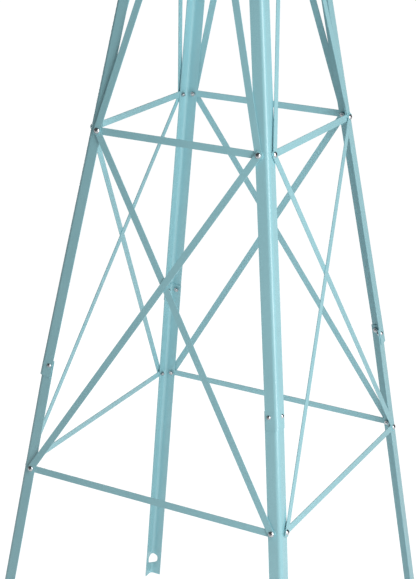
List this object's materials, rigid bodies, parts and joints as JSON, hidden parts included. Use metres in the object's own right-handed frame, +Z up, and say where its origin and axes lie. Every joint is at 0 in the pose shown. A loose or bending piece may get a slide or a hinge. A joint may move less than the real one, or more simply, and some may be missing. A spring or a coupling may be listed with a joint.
{
  "type": "garden windmill",
  "caption": "Free-standing garden windmill: tapering braced tower of bent sheet legs and flat straps, turning head with tail vane, and a sail wheel that spins.",
  "frame": {"origin": "on the ground, under the mast axis, midway between the four feet", "axes": "+Z up along the mast axis; the wheel faces -Y and the tail points to +Y at rest; +X to the right"},
  "size_m": [0.7442, 0.9605, 2.435],
  "materials": {
    "teal_powder_coat": "satin powder coat on folded steel sheet",
    "zinc_plate": "bright zinc plate",
    "ground_steel": "ground and oiled",
    "black_nylon": "moulded, matt"
  },
  "bodies": {
    "tower": {"lower_leg_front_right": "teal_powder_coat", "lower_leg_back_right": "teal_powder_coat", "lower_leg_back_left": "teal_powder_coat", "lower_leg_front_left": "teal_powder_coat", "middle_leg_front_right": "teal_powder_coat", "middle_leg_back_right": "teal_powder_coat", "middle_leg_back_left": "teal_powder_coat", "middle_leg_front_left": "teal_powder_coat", "upper_leg_front_right": "teal_powder_coat", "upper_leg_back_right": "teal_powder_coat", "upper_leg_back_left": "teal_powder_coat", "upper_leg_front_left": "teal_powder_coat", "lower_rail_front": "teal_powder_coat", "lower_rail_right": "teal_powder_coat", "lower_rail_back": "teal_powder_coat", "lower_rail_left": "teal_powder_coat", "upper_rail_front": "teal_powder_coat", "upper_rail_right": "teal_powder_coat", "upper_rail_back": "teal_powder_coat", "upper_rail_left": "teal_powder_coat", "lower_brace_front_inner": "teal_powder_coat", "lower_brace_front_outer": "teal_powder_coat", "lower_brace_right_inner": "teal_powder_coat", "lower_brace_right_outer": "teal_powder_coat", "lower_brace_back_inner": "teal_powder_coat", "lower_brace_back_outer": "teal_powder_coat", "lower_brace_left_inner": "teal_powder_coat", "lower_brace_left_outer": "teal_powder_coat", "upper_brace_front_inner": "teal_powder_coat", "upper_brace_front_outer": "teal_powder_coat", "upper_brace_right_inner": "teal_powder_coat", "upper_brace_right_outer": "teal_powder_coat", "upper_brace_back_inner": "teal_powder_coat", "upper_brace_back_outer": "teal_powder_coat", "upper_brace_left_inner": "teal_powder_coat", "upper_brace_left_outer": "teal_powder_coat", "ring_bolts": "zinc_plate", "ring_nuts": "zinc_plate", "splice_bolts": "zinc_plate", "splice_nuts": "zinc_plate", "cap_plate": "teal_powder_coat", "mast": "teal_powder_coat", "mast_bolts": "zinc_plate", "thrust_washer": "black_nylon"},
    "head": {"head_housing": "teal_powder_coat", "yaw_bushes": "black_nylon", "shaft_bearings": "ground_steel", "tail_bar_upper": "teal_powder_coat", "tail_bar_lower": "teal_powder_coat", "tail_vane": "teal_powder_coat", "tail_bolts": "zinc_plate", "tail_nuts": "zinc_plate"},
    "wheel": {"wheel_shaft": "ground_steel", "wheel_hub": "teal_powder_coat", "wheel_arms": "teal_powder_coat", "arm_rivets": "zinc_plate", "inner_hoop": "teal_powder_coat", "outer_hoop": "teal_powder_coat", "sails": "teal_powder_coat", "shaft_nuts": "zinc_plate"}
  },
  "joints": [
    {"name": "head_yaw", "type": "hinge", "parent": "tower", "child": "head", "pos_m": [0, 0, 1.95], "axis": [0, 0, 1], "continuous": true},
    {"name": "wheel_spin", "type": "hinge", "parent": "head", "child": "wheel", "pos_m": [0, -0.17454, 2.065], "axis": [0, -1, 0], "continuous": true}
  ]
}
